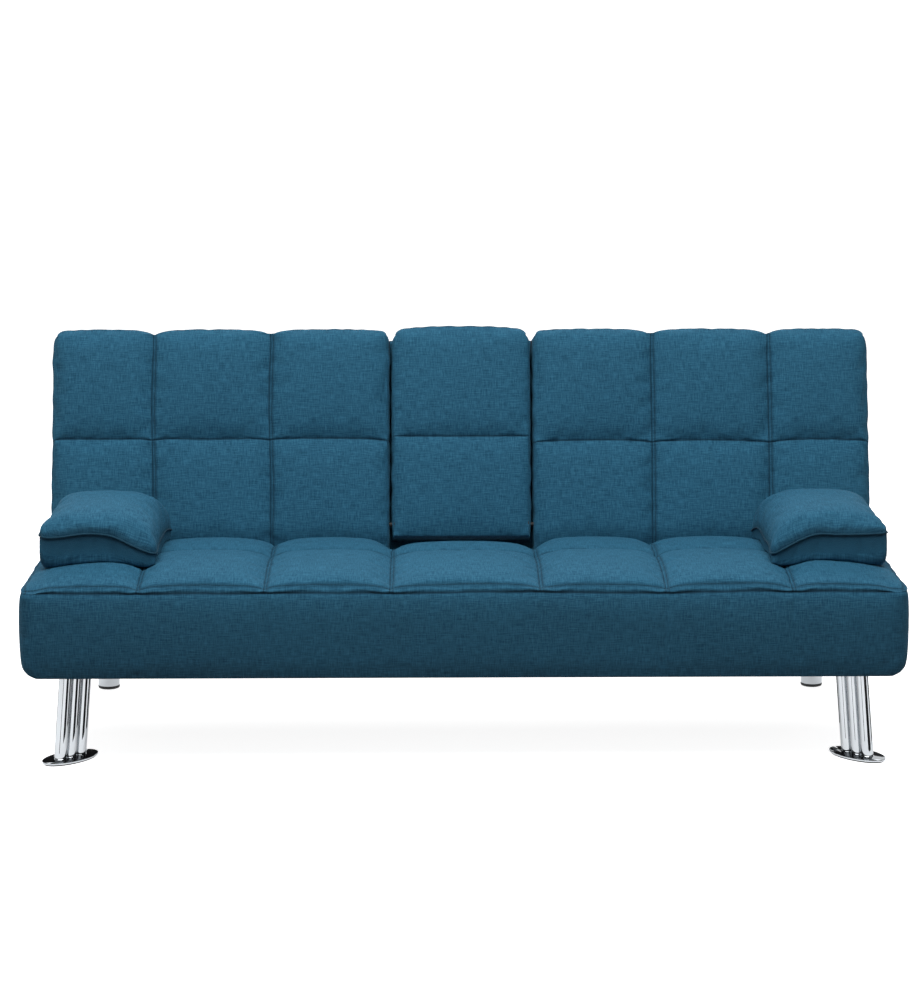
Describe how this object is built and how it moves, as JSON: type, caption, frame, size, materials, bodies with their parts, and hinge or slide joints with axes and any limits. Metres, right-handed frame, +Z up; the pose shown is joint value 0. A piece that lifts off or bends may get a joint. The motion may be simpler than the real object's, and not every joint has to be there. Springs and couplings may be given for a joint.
{
  "type": "sofa bed",
  "caption": "Armless futon sofa bed with a tufted seat and reclining tufted back, a fold-down middle console with cup holders, chrome legs and loose armrest pillows.",
  "frame": {"origin": "on the floor under the middle of the bounding box, sofa upright as a seat", "axes": "+X along the sofa to the sitter's left, +Y to the rear, +Z up"},
  "size_m": [1.67, 0.7024, 0.7471],
  "materials": {
    "upholstery": "teal blue linen weave",
    "foam": "open-cell foam",
    "timber": "sawn softwood and board",
    "black_cloth": "thin black non-woven cloth",
    "chrome": "bright plated steel",
    "black_steel": "black paint on steel",
    "black_plastic": "fine grained black plastic",
    "rubber": "matt black rubber"
  },
  "bodies": {
    "back": {"back_board": "timber", "back_bottom_rail": "timber", "back_left_cover": "upholstery", "back_left_foam": "foam", "back_left_inner_stile": "timber", "back_left_stile": "timber", "back_rear_cover": "upholstery", "back_right_cover": "upholstery", "back_right_foam": "foam", "back_right_inner_stile": "timber", "back_right_stile": "timber", "back_top_rail": "timber", "console_left_hinge": "black_steel", "console_right_hinge": "black_steel", "hinge_left_back_arm": "black_steel", "hinge_right_back_arm": "black_steel"},
    "base": {"base_crossbar": "black_steel", "base_left_rail": "black_steel", "base_right_rail": "black_steel", "front_left_foot_pad": "rubber", "front_left_leg": "chrome", "front_right_foot_pad": "rubber", "front_right_leg": "chrome", "hinge_left_pawl_spring": "black_steel", "hinge_left_rivet": "chrome", "hinge_left_seat_arm": "black_steel", "hinge_right_pawl_spring": "black_steel", "hinge_right_rivet": "chrome", "hinge_right_seat_arm": "black_steel", "rear_left_glide": "black_plastic", "rear_left_leg": "chrome", "rear_right_glide": "black_plastic", "rear_right_leg": "chrome", "seat_cover": "upholstery", "seat_dust_cover": "black_cloth", "seat_foam": "foam", "seat_front_rail": "timber", "seat_left_cross_rail": "timber", "seat_left_rail": "timber", "seat_rear_rail": "timber", "seat_right_cross_rail": "timber", "seat_right_rail": "timber", "seat_spring_1": "black_steel", "seat_spring_2": "black_steel", "seat_spring_3": "black_steel", "seat_spring_4": "black_steel", "seat_spring_5": "black_steel", "stop_left_pad": "rubber", "stop_right_pad": "rubber"},
    "console": {"console_cover": "upholstery", "console_foam": "foam", "console_frame": "timber", "console_rear_panel": "upholstery", "cup_holder_left": "black_plastic", "cup_holder_right": "black_plastic"},
    "pawl_left": {"hinge_left_pawl": "black_steel"},
    "pawl_right": {"hinge_right_pawl": "black_steel"},
    "pillow_left": {"pillow_left": "upholstery"},
    "pillow_right": {"pillow_right": "upholstery"}
  },
  "joints": [
    {"name": "back_recline", "type": "hinge", "parent": "base", "child": "back", "pos_m": [0, 0.16731, 0.3], "axis": [-1, 0, 0], "range_deg": [0, 73]},
    {"name": "console_fold", "type": "hinge", "parent": "back", "child": "console", "pos_m": [0, 0.14411, 0.36775], "axis": [1, 0, 0], "range_deg": [0, 100]},
    {"name": "pillow_left_lift", "type": "slide", "parent": "base", "child": "pillow_left", "axis": [0, 0, 1], "range_m": [0, 0.45]},
    {"name": "pillow_right_lift", "type": "slide", "parent": "base", "child": "pillow_right", "axis": [0, 0, 1], "range_m": [0, 0.45]},
    {"name": "pawl_left_release", "type": "hinge", "parent": "base", "child": "pawl_left", "pos_m": [0.8172, 0.14291, 0.25179], "axis": [1, 0, 0], "range_deg": [0, 12], "stiffness_Nm_per_rad": 0.5, "springref_deg": -11.46},
    {"name": "pawl_right_release", "type": "hinge", "parent": "base", "child": "pawl_right", "pos_m": [-0.8172, 0.14291, 0.25179], "axis": [1, 0, 0], "range_deg": [0, 12], "stiffness_Nm_per_rad": 0.5, "springref_deg": -11.46}
  ]
}
